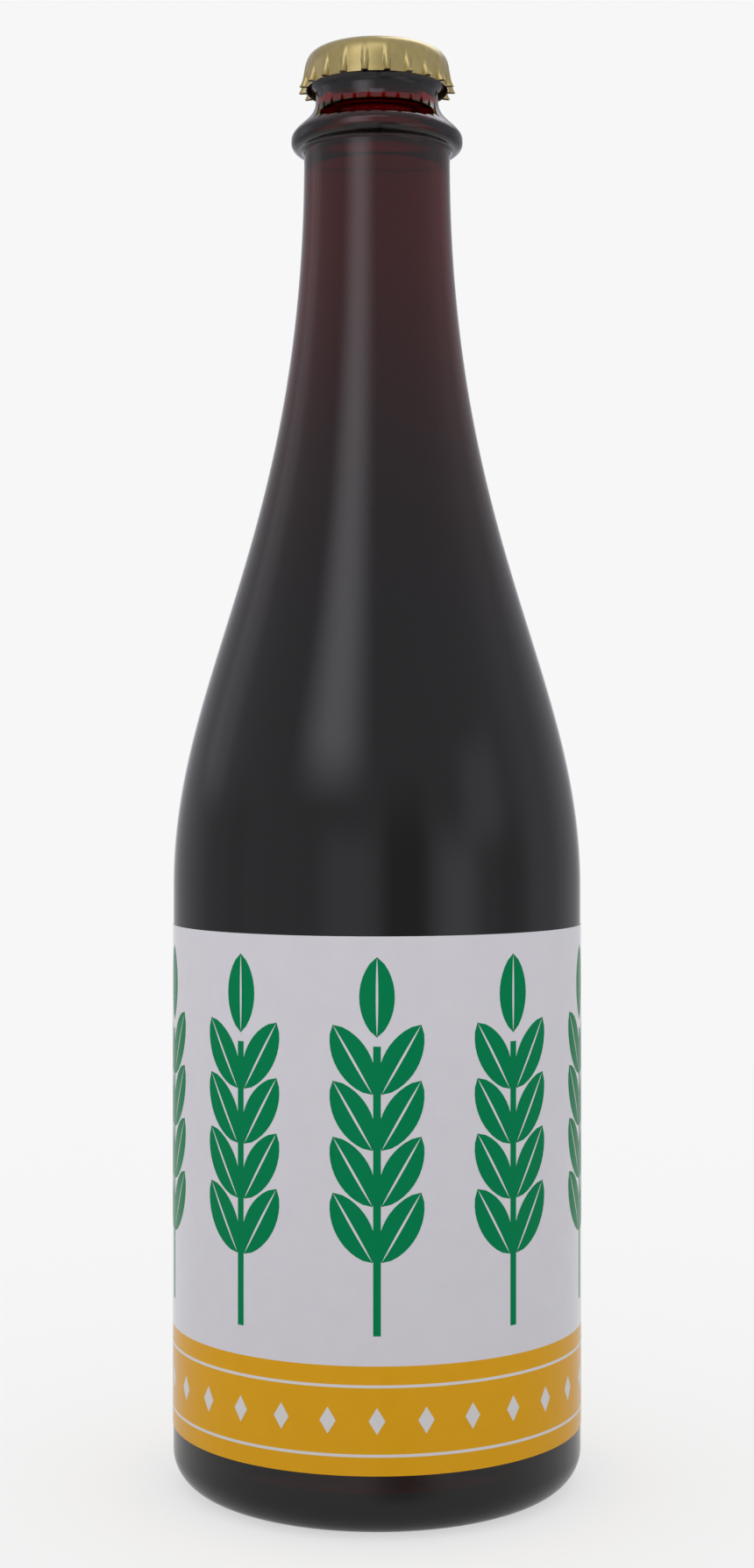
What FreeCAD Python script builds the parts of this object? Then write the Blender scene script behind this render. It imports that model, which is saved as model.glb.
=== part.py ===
import FreeCAD
import Part
import math
import os

# A filled and crown-capped glass drinks bottle, in millimetres.
# It stands on z = 0 with its axis on +Z. The front faces -Y, and the label's seam is at +Y.

# Glass body, shoulder and neck
BODY_DIAMETER = 74.5
SIDE_HEIGHT = 108.5
SHOULDER_RISE = 134.6
SHOULDER_PULL = 39.1
NECK_PULL = 71.6
NECK_DIAMETER = 26.76
WALL = 4.9

# Heel, bearing ring and pushed-up base
HEEL_RADIUS = 6.4
BEARING_WIDTH = 4.0
PUNT_HEIGHT = 16.0
BASE_THICKNESS = 6.0
INSIDE_HEEL_RADIUS = 6.0

# Ring under the finish, and the hollow that leads from it up to the finish
RING_STAND = 2.35
RING_ROUND = 1.42
RING_LAND = 0.55
RING_FILLET = 0.75
HOLLOW_RISE = 7.16
HOLLOW_START_PULL = 2.0
HOLLOW_END_PULL = 3.9

# Crown finish: the glass that the crown closes
BORE_DIAMETER = 16.6
BORE_BLEND = 3.2
FINISH_WALL = 2.97
FINISH_STEM = 0.77
BEAD_STAND = 1.63
BEAD_UNDERSIDE = 3.23
BEAD_LAND = 0.4
LIP_ROUND = 0.8
LIP_LAND = 1.5
LIP_SHOULDER = 3.7

# Crown: a fluted sheet-metal cap with a sealing liner
CROWN_SHEET = 0.24
CROWN_HEIGHT = 7.2
CROWN_CLEARANCE = 0.06
CORNER_PULL = 1.3
PANEL_INSET = 0.5
WAIST_HEIGHT = 1.95
WAIST_IN = 0.11
FLUTES = 21
FLUTE_WAIST_IN = 0.2
FLUTE_RIM_DEPTH = 1.38
FLUTE_SHARPNESS = 5
CROWN_TURN = -0.9
LINER_THICKNESS = 0.56
LINER_SPREAD = 1.2
LINER_WEB = 0.35
LINER_RING_WIDTH = 2.2

# Paper label round the straight side
LABEL_THICKNESS = 0.1
LABEL_GLUE = 0.02
LABEL_HEEL_MARGIN = 4.73
LABEL_SHOULDER_MARGIN = 6.85
LABEL_SEAM = 8.0

# Drink
HEADSPACE = 20.2
FILL_CLEARANCE = 0.05

# Handles at this share of a corner make a quarter circle
QUARTER_HANDLE = 0.5523
# Control points round one flute of the crown
POLES_PER_FLUTE = 16

# Radii that follow from the sizes above
body_r = BODY_DIAMETER / 2
neck_r = NECK_DIAMETER / 2
ring_r = neck_r + RING_STAND
bore_r = BORE_DIAMETER / 2
stem_r = bore_r + FINISH_WALL
bead_r = stem_r + BEAD_STAND
lip_inner_r = bore_r + LIP_ROUND
lip_outer_r = lip_inner_r + LIP_LAND
bearing_outer_r = body_r - HEEL_RADIUS
bearing_inner_r = bearing_outer_r - BEARING_WIDTH

# Heights, from the base up
neck_top = SIDE_HEIGHT + SHOULDER_RISE
ring_low = neck_top + RING_ROUND
ring_high = ring_low + RING_LAND
stem_low = ring_high + HOLLOW_RISE
stem_high = stem_low + FINISH_STEM
bead_low = stem_high + BEAD_UNDERSIDE
bead_high = bead_low + BEAD_LAND
lip_top = bead_high + LIP_SHOULDER
bore_low = neck_top + BORE_BLEND
fill_level = lip_top - HEADSPACE
crown_top = lip_top + LINER_THICKNESS + CROWN_SHEET
crown_rim = crown_top - CROWN_HEIGHT


def point(r, z):
    """A point of an outline, r from the axis and z above the base."""
    return FreeCAD.Vector(r, 0, z)


def straight(*points):
    """Straight edges through the points."""
    ends = [point(*p) for p in points]
    return [Part.LineSegment(a, b).toShape() for a, b in zip(ends, ends[1:])]


def curve(*poles):
    """One smooth edge from the first pole to the last, shaped by those between."""
    bezier = Part.BezierCurve()
    bezier.setPoles([point(*p) for p in poles])
    return [bezier.toShape()]


def quarter(start, corner, end):
    """A quarter-round edge that leaves start towards corner and arrives at end from it."""
    handles = []
    for tip in (start, end):
        along_r = tip[0] + QUARTER_HANDLE * (corner[0] - tip[0])
        along_z = tip[1] + QUARTER_HANDLE * (corner[1] - tip[1])
        handles.append((along_r, along_z))
    return curve(start, handles[0], handles[1], end)


def turned(edges, degrees=360.0):
    """The solid that a closed outline sweeps about the bottle's axis."""
    outline = Part.Face(Part.Wire(edges))
    return outline.revolve(FreeCAD.Vector(0, 0, 0), FreeCAD.Vector(0, 0, 1), degrees)


def base_dome(edge_r, foot):
    """The pushed-up base from its edge to the axis, level at both ends."""
    top = foot + PUNT_HEIGHT
    half = edge_r / 2
    return curve((edge_r, foot), (half, foot), (half, top), (0, top))


def shoulder(side_r, top_r, top):
    """The long sloping shoulder from the straight side to the neck."""
    side_handle = (side_r, SIDE_HEIGHT + SHOULDER_PULL)
    neck_handle = (top_r, neck_top - NECK_PULL)
    return curve((side_r, SIDE_HEIGHT), side_handle, neck_handle, (top_r, top))


def glass_outside():
    """Outline of the glass from the middle of its base to the lip's outer edge."""
    edges = base_dome(bearing_inner_r, 0)
    edges += straight((bearing_inner_r, 0), (bearing_outer_r, 0))
    edges += quarter((bearing_outer_r, 0), (body_r, 0), (body_r, HEEL_RADIUS))
    edges += straight((body_r, HEEL_RADIUS), (body_r, SIDE_HEIGHT))
    fillet_low = neck_top - RING_FILLET
    fillet_r = neck_r + RING_FILLET
    edges += shoulder(body_r, neck_r, fillet_low)
    edges += quarter((neck_r, fillet_low), (neck_r, neck_top), (fillet_r, neck_top))
    edges += straight((fillet_r, neck_top), (ring_r - RING_ROUND, neck_top))
    edges += quarter((ring_r - RING_ROUND, neck_top), (ring_r, neck_top), (ring_r, ring_low))
    edges += straight((ring_r, ring_low), (ring_r, ring_high))
    hollow_start = (ring_r, ring_high + HOLLOW_START_PULL)
    hollow_end = (stem_r, stem_low - HOLLOW_END_PULL)
    edges += curve((ring_r, ring_high), hollow_start, hollow_end, (stem_r, stem_low))
    edges += straight((stem_r, stem_low), (stem_r, stem_high))
    bead_middle = stem_high + BEAD_UNDERSIDE / 2
    edges += curve((stem_r, stem_high), (stem_r, bead_middle), (bead_r, bead_middle), (bead_r, bead_low))
    edges += straight((bead_r, bead_low), (bead_r, bead_high))
    edges += quarter((bead_r, bead_high), (bead_r, lip_top), (lip_outer_r, lip_top))
    return edges


def hollow_outline(shrink=0.0):
    """Outline of the bottle's inside from the bore's top to the axis, drawn in by shrink."""
    side_r = body_r - WALL - shrink
    inner_neck_r = neck_r - WALL - shrink
    mouth_r = bore_r - shrink
    floor = BASE_THICKNESS + shrink
    heel_r = side_r - INSIDE_HEEL_RADIUS
    heel_top = floor + INSIDE_HEEL_RADIUS
    middle = neck_top + BORE_BLEND / 2
    edges = straight((mouth_r, lip_top - LIP_ROUND), (mouth_r, bore_low))
    edges += curve((mouth_r, bore_low), (mouth_r, middle), (inner_neck_r, middle), (inner_neck_r, neck_top))
    edges += shoulder(side_r, inner_neck_r, neck_top)
    edges += straight((side_r, SIDE_HEIGHT), (side_r, heel_top))
    edges += quarter((side_r, heel_top), (side_r, floor), (heel_r, floor))
    edges += base_dome(heel_r, floor)
    return edges


def make_bottle():
    """The glass: outside, lip and inside in one turned outline."""
    edges = glass_outside()
    edges += straight((lip_outer_r, lip_top), (lip_inner_r, lip_top))
    edges += quarter((lip_inner_r, lip_top), (bore_r, lip_top), (bore_r, lip_top - LIP_ROUND))
    edges += hollow_outline()
    edges += straight((0, BASE_THICKNESS + PUNT_HEIGHT), (0, PUNT_HEIGHT))
    return turned(Part.__sortEdges__(edges))


def make_drink():
    """The drink fills the inside up to its level, just clear of the glass."""
    edges = hollow_outline(FILL_CLEARANCE)
    floor_top = BASE_THICKNESS + FILL_CLEARANCE + PUNT_HEIGHT
    mouth = (bore_r - FILL_CLEARANCE, lip_top - LIP_ROUND)
    edges += straight((0, floor_top), (0, lip_top - LIP_ROUND), mouth)
    inside = turned(Part.__sortEdges__(edges))
    return inside.common(Part.makeCylinder(body_r, fill_level)).Solids[0]


def make_label():
    """A sheet wrapped round the straight side, with its two ends apart at the back."""
    inner_r = body_r + LABEL_GLUE
    outer_r = inner_r + LABEL_THICKNESS
    low = HEEL_RADIUS + LABEL_HEEL_MARGIN
    high = SIDE_HEIGHT - LABEL_SHOULDER_MARGIN
    gap = math.degrees(LABEL_SEAM / outer_r)
    corners = [(inner_r, low), (outer_r, low), (outer_r, high), (inner_r, high), (inner_r, low)]
    sheet = turned(straight(*corners), 360.0 - gap)
    sheet.rotate(FreeCAD.Vector(0, 0, 0), FreeCAD.Vector(0, 0, 1), 90.0 + gap / 2)
    return sheet


def crown_surface(inset):
    """One side of the crown's sheet from its flat panel to its rim, drawn in by inset."""
    panel_r = lip_outer_r - PANEL_INSET
    rim_r = bead_r + CROWN_CLEARANCE + CROWN_SHEET - inset
    waist_r = rim_r - WAIST_IN
    top = crown_top - inset
    front_panel = math.radians(-90.0 + CROWN_TURN)
    columns = []
    for step in range(FLUTES * POLES_PER_FLUTE):
        turn = (step / POLES_PER_FLUTE + 0.5) * 2 * math.pi
        swell = ((1 + math.cos(turn)) / 2) ** FLUTE_SHARPNESS
        angle = front_panel + step * 2 * math.pi / (FLUTES * POLES_PER_FLUTE)
        profile = [
            (panel_r, top),
            (rim_r + CORNER_PULL - WAIST_IN, top),
            (waist_r - FLUTE_WAIST_IN * swell, crown_rim + WAIST_HEIGHT),
            (rim_r + FLUTE_RIM_DEPTH * swell, crown_rim),
        ]
        columns.append([FreeCAD.Vector(r * math.cos(angle), r * math.sin(angle), z) for r, z in profile])
    surface = Part.BSplineSurface()
    knots = list(range(len(columns) + 1))
    surface.buildFromPolesMultsKnots(
        columns, [1] * len(knots), [4, 4], knots, [0, 1], True, False, 3, 3)
    return surface


def make_crown_shell():
    """The fluted cap: two skins, two flat panels and the rim between the skins."""
    outer = crown_surface(0.0)
    inner = crown_surface(CROWN_SHEET)
    panels = [Part.Face(Part.Wire(skin.vIso(0).toShape())) for skin in (outer, inner)]
    rims = [Part.Wire(skin.vIso(1).toShape()) for skin in (outer, inner)]
    rim = Part.makeFace(rims, "Part::FaceMakerBullseye")
    shell = Part.makeShell([outer.toShape(), inner.toShape(), rim] + panels)
    shell.sewShape()
    return Part.makeSolid(shell)


def make_liner():
    """The sealing disc: a thin web with a thicker ring that lies on the lip."""
    top = lip_top + LINER_THICKNESS
    top_r = lip_outer_r - PANEL_INSET
    edge_r = top_r + LINER_SPREAD
    web_r = edge_r - LINER_RING_WIDTH
    web = top - LINER_WEB
    corners = [(0, top), (top_r, top), (edge_r, lip_top), (web_r, lip_top), (web_r, web), (0, web), (0, top)]
    return turned(straight(*corners))


def main():
    """Makes each piece and writes it to its own file."""
    os.makedirs("parts", exist_ok=True)
    pieces = {
        "glass_bottle": make_bottle(),
        "drink": make_drink(),
        "wrap_label": make_label(),
        "crown_shell": make_crown_shell(),
        "crown_liner": make_liner(),
    }
    for name, shape in pieces.items():
        shape.exportStep(f"parts/{name}.step")
        box = shape.BoundBox
        size = f"{box.XLength:.2f} x {box.YLength:.2f} x {box.ZLength:.2f}"
        print(name, shape.ShapeType, shape.isValid(), f"{shape.Volume / 1000:.2f} ml", size, f"z {box.ZMin:.2f}")
    print(f"overall height {crown_top:.2f}, lip {lip_top:.2f}, level {fill_level:.2f}, rim {crown_rim:.2f}")


main()
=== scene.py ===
# %% [markdown]
# # A crown-capped glass bottle
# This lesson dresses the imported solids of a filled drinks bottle: dark red glass, the drink inside
# it, a printed paper label, and a fluted gold crown on its sealing liner. The solids are loaded
# first and never move. Every mesh made here is built in the same frame, in metres, with its place
# in its own vertices.

# %% Load the fixed frame
import math

import bmesh
import bpy
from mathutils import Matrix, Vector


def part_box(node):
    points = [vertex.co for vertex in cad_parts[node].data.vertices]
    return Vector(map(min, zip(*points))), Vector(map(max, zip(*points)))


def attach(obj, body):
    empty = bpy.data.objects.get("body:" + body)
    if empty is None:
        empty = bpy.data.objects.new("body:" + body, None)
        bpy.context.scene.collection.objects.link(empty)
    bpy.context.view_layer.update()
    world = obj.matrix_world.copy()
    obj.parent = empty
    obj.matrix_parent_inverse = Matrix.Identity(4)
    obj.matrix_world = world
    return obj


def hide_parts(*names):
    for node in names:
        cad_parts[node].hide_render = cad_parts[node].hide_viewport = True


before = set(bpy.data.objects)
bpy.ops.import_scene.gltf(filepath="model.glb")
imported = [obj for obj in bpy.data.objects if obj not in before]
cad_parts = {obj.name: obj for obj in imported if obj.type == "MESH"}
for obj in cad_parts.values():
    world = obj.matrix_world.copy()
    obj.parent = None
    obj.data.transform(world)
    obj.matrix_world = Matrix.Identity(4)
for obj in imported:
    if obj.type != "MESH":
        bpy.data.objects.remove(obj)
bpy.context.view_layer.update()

MM = 0.001
DEGREE = math.radians(1)
scene = bpy.context.scene
scene.view_settings.view_transform = "Standard"

# %% [markdown]
# ## Small helpers
# Node trees are easier to read when a node, its settings and what feeds it stand on one line. The
# same helper serves shaders, the world and Geometry Nodes: an input is a plain value, set on the
# socket itself, or another node's output, which is linked.

# %% Helpers for nodes and objects
# The numbers of a Mix node's two inputs and its result, for two kinds of data.
MIX_VECTORS = (4, 5, 1)
MIX_COLOURS = (6, 7, 2)


def add(tree, kind, inputs=None, **settings):
    """A node of this kind with its settings, each input a value or another node's output."""
    made = tree.nodes.new(kind)
    for key, value in settings.items():
        setattr(made, key, value)
    for key, value in (inputs or {}).items():
        if isinstance(value, bpy.types.NodeSocket):
            tree.links.new(value, made.inputs[key])
        else:
            made.inputs[key].default_value = value
    return made


def calc(tree, operation, first, second=0.0, third=0.0):
    """The result of one arithmetic node."""
    return add(tree, "ShaderNodeMath", {0: first, 1: second, 2: third}, operation=operation).outputs[0]


def times(tree, first, second):
    """The product of two values or outputs."""
    return calc(tree, "MULTIPLY", first, second)


def emptied(owner):
    """The emptied shader tree of a material or world."""
    owner.use_nodes = True
    owner.node_tree.nodes.clear()
    return owner.node_tree


def as_object(name, mesh):
    """A new object for a mesh or camera, linked to the scene at the origin."""
    made = bpy.data.objects.new(name, mesh)
    scene.collection.objects.link(made)
    return made


def plain_mesh(source):
    """The evaluated shape of an object as a plain mesh, with no modifier left on it."""
    evaluated = source.evaluated_get(bpy.context.evaluated_depsgraph_get())
    mesh = bpy.data.meshes.new_from_object(evaluated)
    mesh.name = source.name
    source.modifiers.clear()
    source.data = mesh
    return source


print("helpers ready")

# %% [markdown]
# ## The camera
# The photograph was matched with a pinhole model of the bottle: the camera looks level along +Y
# from about half the bottle's height. The focal length in pixels of the photograph is turned into
# millimetres of lens. A small vertical shift puts the horizon on its row.

# %% Camera
IMAGE_HEIGHT = 1789
HORIZON_ROW = 882.4
FOCAL_PIXELS = 2650.0
SENSOR_MM = 36.0
CAMERA_DISTANCE = 426.7 * MM
CAMERA_HEIGHT = 129.0 * MM
CLIP_START = 10.0 * MM

lens = bpy.data.cameras.new("camera")
lens.sensor_width = SENSOR_MM
lens.lens = FOCAL_PIXELS / IMAGE_HEIGHT * SENSOR_MM
lens.shift_y = (HORIZON_ROW - IMAGE_HEIGHT / 2) / IMAGE_HEIGHT
lens.clip_start = CLIP_START
camera = as_object("camera", lens)
camera.location = (0, -CAMERA_DISTANCE, CAMERA_HEIGHT)
camera.rotation_euler = (math.pi / 2, 0, 0)
scene.camera = camera
print("lens", round(lens.lens, 2), "mm, shift", round(lens.shift_y, 4))

# %% [markdown]
# ## Studio light
# Dark glass shows almost nothing but what it mirrors, so the surroundings are part of its look.
# The world is pale where the camera looks and where glass shows what is behind it. Mirrors see that
# backdrop straight behind the bottle and a dimmer room elsewhere, with patches that are brighter or
# dimmer still. Their soft edges give the bands that a large diffuser draws on a bottle. Matt
# surfaces get plain light, a little stronger from the left.

# %% World
BACKDROP = 0.93
LIGHT_LEFT = 1.2
LIGHT_RIGHT = 1.06
ROOM_LEVEL = 0.55
ROOM_TINT = (1.0, 0.975, 1.04, 1.0)
WHITE = (1.0, 1.0, 1.0, 1.0)
BACKDROP_NEARNESS = (0.93, 1.0)
# Each patch: azimuth from the camera's side, positive to the right, and elevation, each with the
# half widths of its even middle and of its whole reach in degrees; then what it adds.
FAR_PATCHES = {
    "back right": ((150, 10, 34), (56, 14, 32), 1.6),
    "dim left": ((-128, 14, 34), (0, 30, 60), -0.12),
    "dim right": ((132, 14, 34), (0, 30, 60), -0.12)}


def fade(tree, value, start, end, low=0.0, high=1.0, kind="SMOOTHSTEP"):
    """A smooth or linear change from low to high while the value goes from start to end."""
    return add(tree, "ShaderNodeMapRange", {
        "Value": value, "From Min": start, "From Max": end, "To Min": low, "To Max": high},
        interpolation_type=kind).outputs[0]


def falloff(tree, place, spread_of, unit):
    """One in the even middle round a centre, fading to nothing at the reach."""
    centre, middle, reach = (value * unit for value in spread_of)
    off = calc(tree, "ABSOLUTE", calc(tree, "SUBTRACT", place, centre))
    return fade(tree, off, middle, reach, 1.0, 0.0)


def azimuth_of(tree, spot):
    """The angle of a spot or direction from the camera's side, positive to the right."""
    return calc(tree, "ARCTAN2", spot.outputs["X"], times(tree, spot.outputs["Y"], -1.0))


world = bpy.data.worlds.new("studio")
scene.world = world
tree = emptied(world)
rays = add(tree, "ShaderNodeLightPath")
way = add(tree, "ShaderNodeSeparateXYZ", {0: add(tree, "ShaderNodeTexCoord").outputs["Generated"]})
azimuth = azimuth_of(tree, way)
elevation = calc(tree, "ARCSINE", way.outputs["Z"])
room = fade(tree, way.outputs["Y"], *BACKDROP_NEARNESS, ROOM_LEVEL, BACKDROP)
for across, upward, strength in FAR_PATCHES.values():
    sideways = falloff(tree, azimuth, across, DEGREE)
    patch = times(tree, sideways, falloff(tree, elevation, upward, DEGREE))
    room = calc(tree, "MULTIPLY_ADD", patch, strength, room)
even = fade(tree, way.outputs["X"], -1.0, 1.0, LIGHT_LEFT, LIGHT_RIGHT, "LINEAR")
light = add(tree, "ShaderNodeBackground", {"Color": WHITE, "Strength": even})
mirrored = add(tree, "ShaderNodeBackground", {"Color": ROOM_TINT, "Strength": room})
seen = add(tree, "ShaderNodeBackground", {"Color": WHITE, "Strength": BACKDROP})
by_mirror = add(tree, "ShaderNodeMixShader", {
    0: rays.outputs["Is Glossy Ray"], 1: light.outputs[0], 2: mirrored.outputs[0]})
straight_look = calc(tree, "MAXIMUM", rays.outputs["Is Camera Ray"], rays.outputs["Is Transmission Ray"])
by_look = add(tree, "ShaderNodeMixShader", {0: straight_look, 1: by_mirror.outputs[0], 2: seen.outputs[0]})
add(tree, "ShaderNodeOutputWorld", {"Surface": by_look.outputs[0]})
print("world made with", len(FAR_PATCHES), "soft patches")

# %% [markdown]
# ## The floor
# The floor is a pale disc that keeps the bottle's soft shadow and fades out into the backdrop, so
# that no horizon shows behind the bottle. Much of its paleness is glow, which keeps the shadow light:
# an even part, a part for direct looks, and a part that mirrors and glass see. For those a strip in
# front has no glow, and it draws the dark bar on the bottle's heel.

# %% Floor
FLOOR_RADIUS = 0.7
FLOOR_SEGMENTS = 96
FLOOR_DROP = 0.02
FLOOR_FADE = (0.16, 0.62)
FLOOR_TONE = 0.3
FLOOR_EVEN_GLOW = 0.2
FLOOR_GLOW = 0.385
FLOOR_MIRROR_GLOW = 0.15
# The strip in millimetres: its centre to the right of the front, the half widths of its even middle
# and of its reach; then where it sets in and where it is full, from the bottle's axis.
STRIP_ASIDE = (12.0, 2.0, 21.0)
STRIP_AHEAD = (48.0, 64.0)

floor_mesh = bpy.data.meshes.new("floor")
shape = bmesh.new()
bmesh.ops.create_circle(shape, cap_ends=True, radius=FLOOR_RADIUS, segments=FLOOR_SEGMENTS)
shape.to_mesh(floor_mesh)
shape.free()
matt = bpy.data.materials.new("floor_matt")
tree = emptied(matt)
spot = add(tree, "ShaderNodeTexCoord").outputs["Object"]
away = add(tree, "ShaderNodeVectorMath", {0: spot}, operation="LENGTH").outputs["Value"]
gone = fade(tree, away, *FLOOR_FADE)
paint = add(tree, "ShaderNodeBsdfDiffuse", {"Color": (FLOOR_TONE, FLOOR_TONE, FLOOR_TONE, 1)})
rays = add(tree, "ShaderNodeLightPath")
mirror_look = calc(tree, "MAXIMUM", rays.outputs["Is Glossy Ray"], rays.outputs["Is Transmission Ray"])
where = add(tree, "ShaderNodeSeparateXYZ", {0: spot})
across = falloff(tree, where.outputs["X"], STRIP_ASIDE, MM)
ahead = fade(tree, where.outputs["Y"], -STRIP_AHEAD[0] * MM, -STRIP_AHEAD[1] * MM)
strip = times(tree, across, ahead)
mirrored_floor = calc(tree, "MULTIPLY_ADD", strip, -FLOOR_EVEN_GLOW - FLOOR_MIRROR_GLOW, FLOOR_MIRROR_GLOW)
mirror_glow = calc(tree, "MULTIPLY_ADD", mirror_look, mirrored_floor, FLOOR_EVEN_GLOW)
glow = calc(tree, "MULTIPLY_ADD", rays.outputs["Is Camera Ray"], FLOOR_GLOW, mirror_glow)
lift = add(tree, "ShaderNodeEmission", {"Strength": glow})
pale = add(tree, "ShaderNodeAddShader", {0: paint.outputs[0], 1: lift.outputs[0]})
clear = add(tree, "ShaderNodeBsdfTransparent")
blend = add(tree, "ShaderNodeMixShader", {0: gone, 1: pale.outputs[0], 2: clear.outputs[0]})
add(tree, "ShaderNodeOutputMaterial", {"Surface": blend.outputs[0]})
floor_mesh.materials.append(matt)
floor = as_object("floor", floor_mesh)
floor.location = (0, 0, -FLOOR_DROP * MM)
print("floor made")

# %% [markdown]
# ## Outlines that turn
# Glass, drink, liner and the light tent are turned forms. Each outline is a chain of stretches, in
# millimetres from the axis and above the base. A stretch is a straight run, a free curve with two
# handles, or a quarter round. Its last number says how many steps it gets. A lathe turns the chain.

# %% Lathe tools
QUARTER_HANDLE = 0.5523
ON_AXIS = 1e-6


def curve(start, pull, push, end, steps):
    """Points along a smooth stretch after its start, shaped by two handles."""
    points = []
    for step in range(1, steps + 1):
        t = step / steps
        weights = ((1 - t) ** 3, 3 * (1 - t) ** 2 * t, 3 * (1 - t) * t ** 2, t ** 3)
        poles = (start, pull, push, end)
        points.append(tuple(sum(w * p[k] for w, p in zip(weights, poles)) for k in (0, 1)))
    return points


def quarter(start, corner, end, steps):
    """Points along a quarter round after its start."""
    pull = [s + QUARTER_HANDLE * (c - s) for s, c in zip(start, corner)]
    push = [e + QUARTER_HANDLE * (c - e) for e, c in zip(end, corner)]
    return curve(start, pull, push, end, steps)


def run(start, end, steps):
    """Evenly spaced points along a straight run after its start."""
    return [tuple(s + (e - s) * k / steps for s, e in zip(start, end)) for k in range(1, steps + 1)]


def lathe(name, outline, segments):
    """An object turned about the axis from an outline in millimetres; points on the axis close it."""
    verts, rings, faces = [], [], []
    for r, z in outline:
        first = len(verts)
        if r < ON_AXIS:
            verts.append((0, 0, z * MM))
            rings.append([first] * segments)
            continue
        for step in range(segments):
            angle = 2 * math.pi * step / segments
            verts.append((r * MM * math.cos(angle), r * MM * math.sin(angle), z * MM))
        rings.append(list(range(first, first + segments)))
    for low, high in zip(rings, rings[1:]):
        for step in range(segments):
            after = (step + 1) % segments
            corners = [low[step], low[after], high[after], high[step]]
            faces.append(list(dict.fromkeys(corners)))
    mesh = bpy.data.meshes.new(name)
    mesh.from_pydata(verts, [], faces)
    mesh.shade_smooth()
    return as_object(name, mesh)


print("lathe ready")

# %% [markdown]
# ## Light tent
# Bottles are photographed close to white cloth, and the neck still mirrors a near panel that the low
# shoulder no longer sees. So the front lights are soft patches on a tent, an open cylinder round the
# bottle that only mirrors see. It is clear but for its patches: six of them glow, and three are gaps
# that dim what lies behind them.

# %% Tent
TENT_RADIUS = 450.0
TENT_HEIGHT = 800.0
TENT_SIDES = 96
# Each patch: azimuth in degrees and height in millimetres, with half widths as above; then strength.
TENT_LIGHTS = {
    "key": ((-27, 1, 28), (502, 136, 276), 1.22),
    "low right": ((43, 2, 20), (60, 50, 190), 0.39),
    "high right": ((61, 3, 20), (245, 25, 115), 0.26),
    "low left": ((-15, 5, 22), (50, 90, 190), 0.2),
    "left edge": ((-110, 4, 18), (315, 80, 150), 0.25),
    "high middle": ((0, 8, 20), (660, 90, 150), 1.0)}
# The same for the gaps; then the share that they take away.
TENT_GAPS = {
    "middle": ((15, 5, 17), (50, 100, 300), 0.37),
    "right": ((78, 4, 16), (50, 80, 200), 0.2),
    "left": ((-90, 6, 22), (50, 130, 230), 0.18)}


def tent_patch(tree, spot, across, upward):
    """How much of a patch lies at a spot of the tent."""
    sideways = falloff(tree, azimuth_of(tree, spot), across, DEGREE)
    return times(tree, sideways, falloff(tree, spot.outputs["Z"], upward, MM))


tent = lathe("light_tent", [(TENT_RADIUS, 0), (TENT_RADIUS, TENT_HEIGHT)], TENT_SIDES)
cloth = bpy.data.materials.new("tent_cloth")
tree = emptied(cloth)
spot = add(tree, "ShaderNodeSeparateXYZ", {0: add(tree, "ShaderNodeTexCoord").outputs["Object"]})
glow, veil = 0.0, 1.0
for across, upward, strength in TENT_LIGHTS.values():
    glow = calc(tree, "MULTIPLY_ADD", tent_patch(tree, spot, across, upward), strength, glow)
for across, upward, share in TENT_GAPS.values():
    veil = calc(tree, "MULTIPLY_ADD", tent_patch(tree, spot, across, upward), -share, veil)
clear = add(tree, "ShaderNodeBsdfTransparent", {"Color": veil})
lit = add(tree, "ShaderNodeEmission", {"Color": ROOM_TINT, "Strength": glow})
panel = add(tree, "ShaderNodeAddShader", {0: clear.outputs[0], 1: lit.outputs[0]})
add(tree, "ShaderNodeOutputMaterial", {"Surface": panel.outputs[0]})
tent.data.materials.append(cloth)
for look in ("camera", "diffuse", "transmission", "shadow"):
    setattr(tent, "visible_" + look, False)
print("tent made with", len(TENT_LIGHTS), "lights and", len(TENT_GAPS), "gaps")

# %% [markdown]
# ## Glass bottle
# The bottle is one thick piece of glass, so its mesh has an outside and an inside: light has to
# pass through both. The long shoulder is one curve, and a small fillet leads into the ring, as
# moulded glass has no sharp corners.

# %% Glass outline
BODY_R = 37.25
SIDE_HEIGHT = 108.5
NECK_TOP = 243.1
NECK_R = 13.38
SHOULDER_PULL = 39.1
NECK_PULL = 71.6
WALL = 4.9
HEEL_RADIUS = 6.4
BEARING_INNER_R = 26.85
PUNT_HEIGHT = 16.0
BASE_THICKNESS = 6.0
INSIDE_HEEL_RADIUS = 6.0
RING_R = 15.73
RING_ROUND = 1.42
RING_HIGH = 245.07
RING_FILLET = 0.75
STEM_R = 11.27
STEM_LOW = 252.23
STEM_HIGH = 253.0
HOLLOW_START_PULL = 2.0
HOLLOW_END_PULL = 3.9
BEAD_R = 12.9
BEAD_LOW = 256.23
BEAD_HIGH = 256.63
LIP_OUTER_R = 10.6
LIP_ROUND = 0.8
BORE_R = 8.3
BORE_LOW = 246.3
LIP_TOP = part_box("glass_bottle")[1].z / MM
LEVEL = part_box("drink")[1].z / MM
MENISCUS_RISE = 0.35
CONTACT = LEVEL + MENISCUS_RISE


def dome(edge_r, foot, steps):
    """The pushed-up base from its edge to the axis."""
    half, top = edge_r / 2, foot + PUNT_HEIGHT
    return curve((edge_r, foot), (half, foot), (half, top), (0, top), steps)


def shoulder(side_r, top_r, top, steps):
    """The long slope from the straight side to the neck."""
    side_handle = (side_r, SIDE_HEIGHT + SHOULDER_PULL)
    neck_handle = (top_r, NECK_TOP - NECK_PULL)
    return curve((side_r, SIDE_HEIGHT), side_handle, neck_handle, (top_r, top), steps)


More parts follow.
